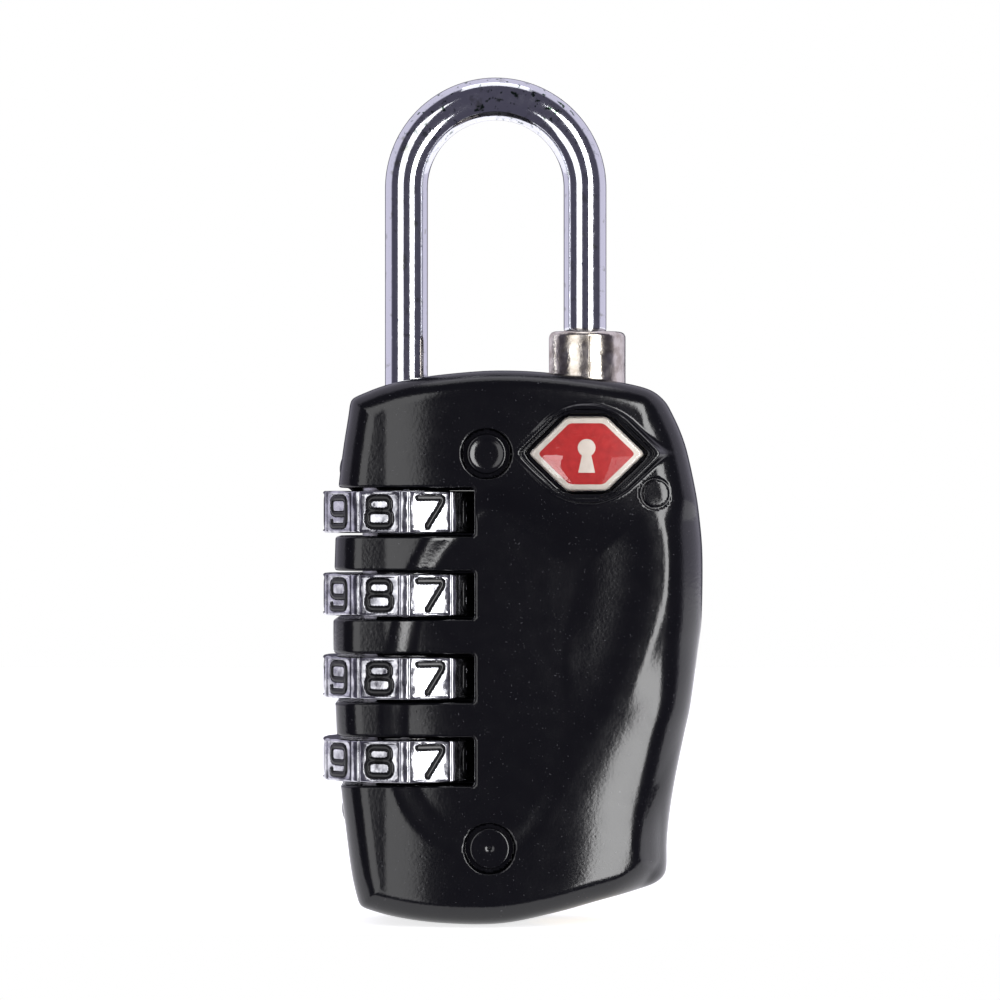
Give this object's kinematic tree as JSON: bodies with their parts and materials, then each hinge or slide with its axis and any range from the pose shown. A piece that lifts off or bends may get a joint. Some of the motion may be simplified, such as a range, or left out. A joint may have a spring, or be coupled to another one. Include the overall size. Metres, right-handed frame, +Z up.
{
  "type": "combination padlock",
  "caption": "Black die-cast padlock with chrome number wheels along one side, a round-wire shackle, a hexagonal badge and a keyed release under the short leg.",
  "frame": {"origin": "point inside the bow that bears on what the padlock hangs from, on the middle plane", "axes": "+Z up the shackle, +X from the long leg and its wheels to the short leg, -Y out of the badged front"},
  "size_m": [0.0355, 0.0159, 0.0787],
  "materials": {
    "case_paint": "gloss black over die-cast zinc",
    "shackle_chrome": "bright chrome plate with fine wear",
    "collar_nickel": "dull nickel plate over a casting",
    "dial_chrome": "chrome plate, hammered panels",
    "dial_ink": "gloss black paint filling",
    "inner_brass": "machined",
    "plug_brass": "machined and handled",
    "inner_steel": "spring temper",
    "badge_enamel": "printed red field in a cream border",
    "badge_cream": "printed cream",
    "badge_resin": "clear domed resin"
  },
  "bodies": {
    "case": {"front_shell": "case_paint", "back_shell": "case_paint", "key_housing": "inner_brass", "reset_spring": "inner_steel", "detent_spring": "inner_steel", "badge_plate": "badge_enamel", "badge_dome": "badge_resin", "upper_rivet": "case_paint", "lower_rivet": "case_paint"},
    "shackle_body": {"shackle": "shackle_chrome"},
    "release": {"release_collar": "collar_nickel", "key_plug": "plug_brass", "tumbler_wafers": "inner_brass", "plug_clip": "inner_steel"},
    "wheel_1": {"dial_1": "dial_chrome"},
    "clutch_1": {"sleeve_1": "inner_steel"},
    "wheel_2": {"dial_2": "dial_chrome"},
    "clutch_2": {"sleeve_2": "inner_steel"},
    "wheel_3": {"dial_3": "dial_chrome"},
    "clutch_3": {"sleeve_3": "inner_steel"},
    "wheel_4": {"dial_4": "dial_chrome"},
    "clutch_4": {"sleeve_4": "inner_steel", "thrust_washer": "inner_steel"}
  },
  "joints": [
    {"name": "shackle_lift", "type": "slide", "parent": "case", "child": "shackle_body", "axis": [0, 0, 1], "range_m": [0, 0.0065]},
    {"name": "key_turn", "type": "hinge", "parent": "case", "child": "release", "pos_m": [0.00835, 0, -0.06], "axis": [0, 0, 1], "range_deg": [0, 90]},
    {"name": "dial_1_spin", "type": "hinge", "parent": "case", "child": "wheel_1", "pos_m": [-0.00835, 0, -0.0366], "axis": [0, 0, 1], "continuous": true},
    {"name": "sleeve_1_shift", "type": "slide", "parent": "wheel_1", "child": "clutch_1", "axis": [0, 0, -1], "range_m": [0, 0.001], "deforming": ["reset_spring"]},
    {"name": "dial_2_spin", "type": "hinge", "parent": "case", "child": "wheel_2", "pos_m": [-0.00835, 0, -0.04425], "axis": [0, 0, 1], "continuous": true},
    {"name": "sleeve_2_shift", "type": "slide", "parent": "wheel_2", "child": "clutch_2", "axis": [0, 0, -1], "range_m": [0, 0.001]},
    {"name": "dial_3_spin", "type": "hinge", "parent": "case", "child": "wheel_3", "pos_m": [-0.00835, 0, -0.0519], "axis": [0, 0, 1], "continuous": true},
    {"name": "sleeve_3_shift", "type": "slide", "parent": "wheel_3", "child": "clutch_3", "axis": [0, 0, -1], "range_m": [0, 0.001]},
    {"name": "dial_4_spin", "type": "hinge", "parent": "case", "child": "wheel_4", "pos_m": [-0.00835, 0, -0.05955], "axis": [0, 0, 1], "continuous": true},
    {"name": "sleeve_4_shift", "type": "slide", "parent": "wheel_4", "child": "clutch_4", "axis": [0, 0, -1], "range_m": [0, 0.001]}
  ],
  "couplings": [
    {"joint": "sleeve_2_shift", "follows": "sleeve_1_shift", "ratio": 1},
    {"joint": "sleeve_3_shift", "follows": "sleeve_1_shift", "ratio": 1},
    {"joint": "sleeve_4_shift", "follows": "sleeve_1_shift", "ratio": 1}
  ]
}
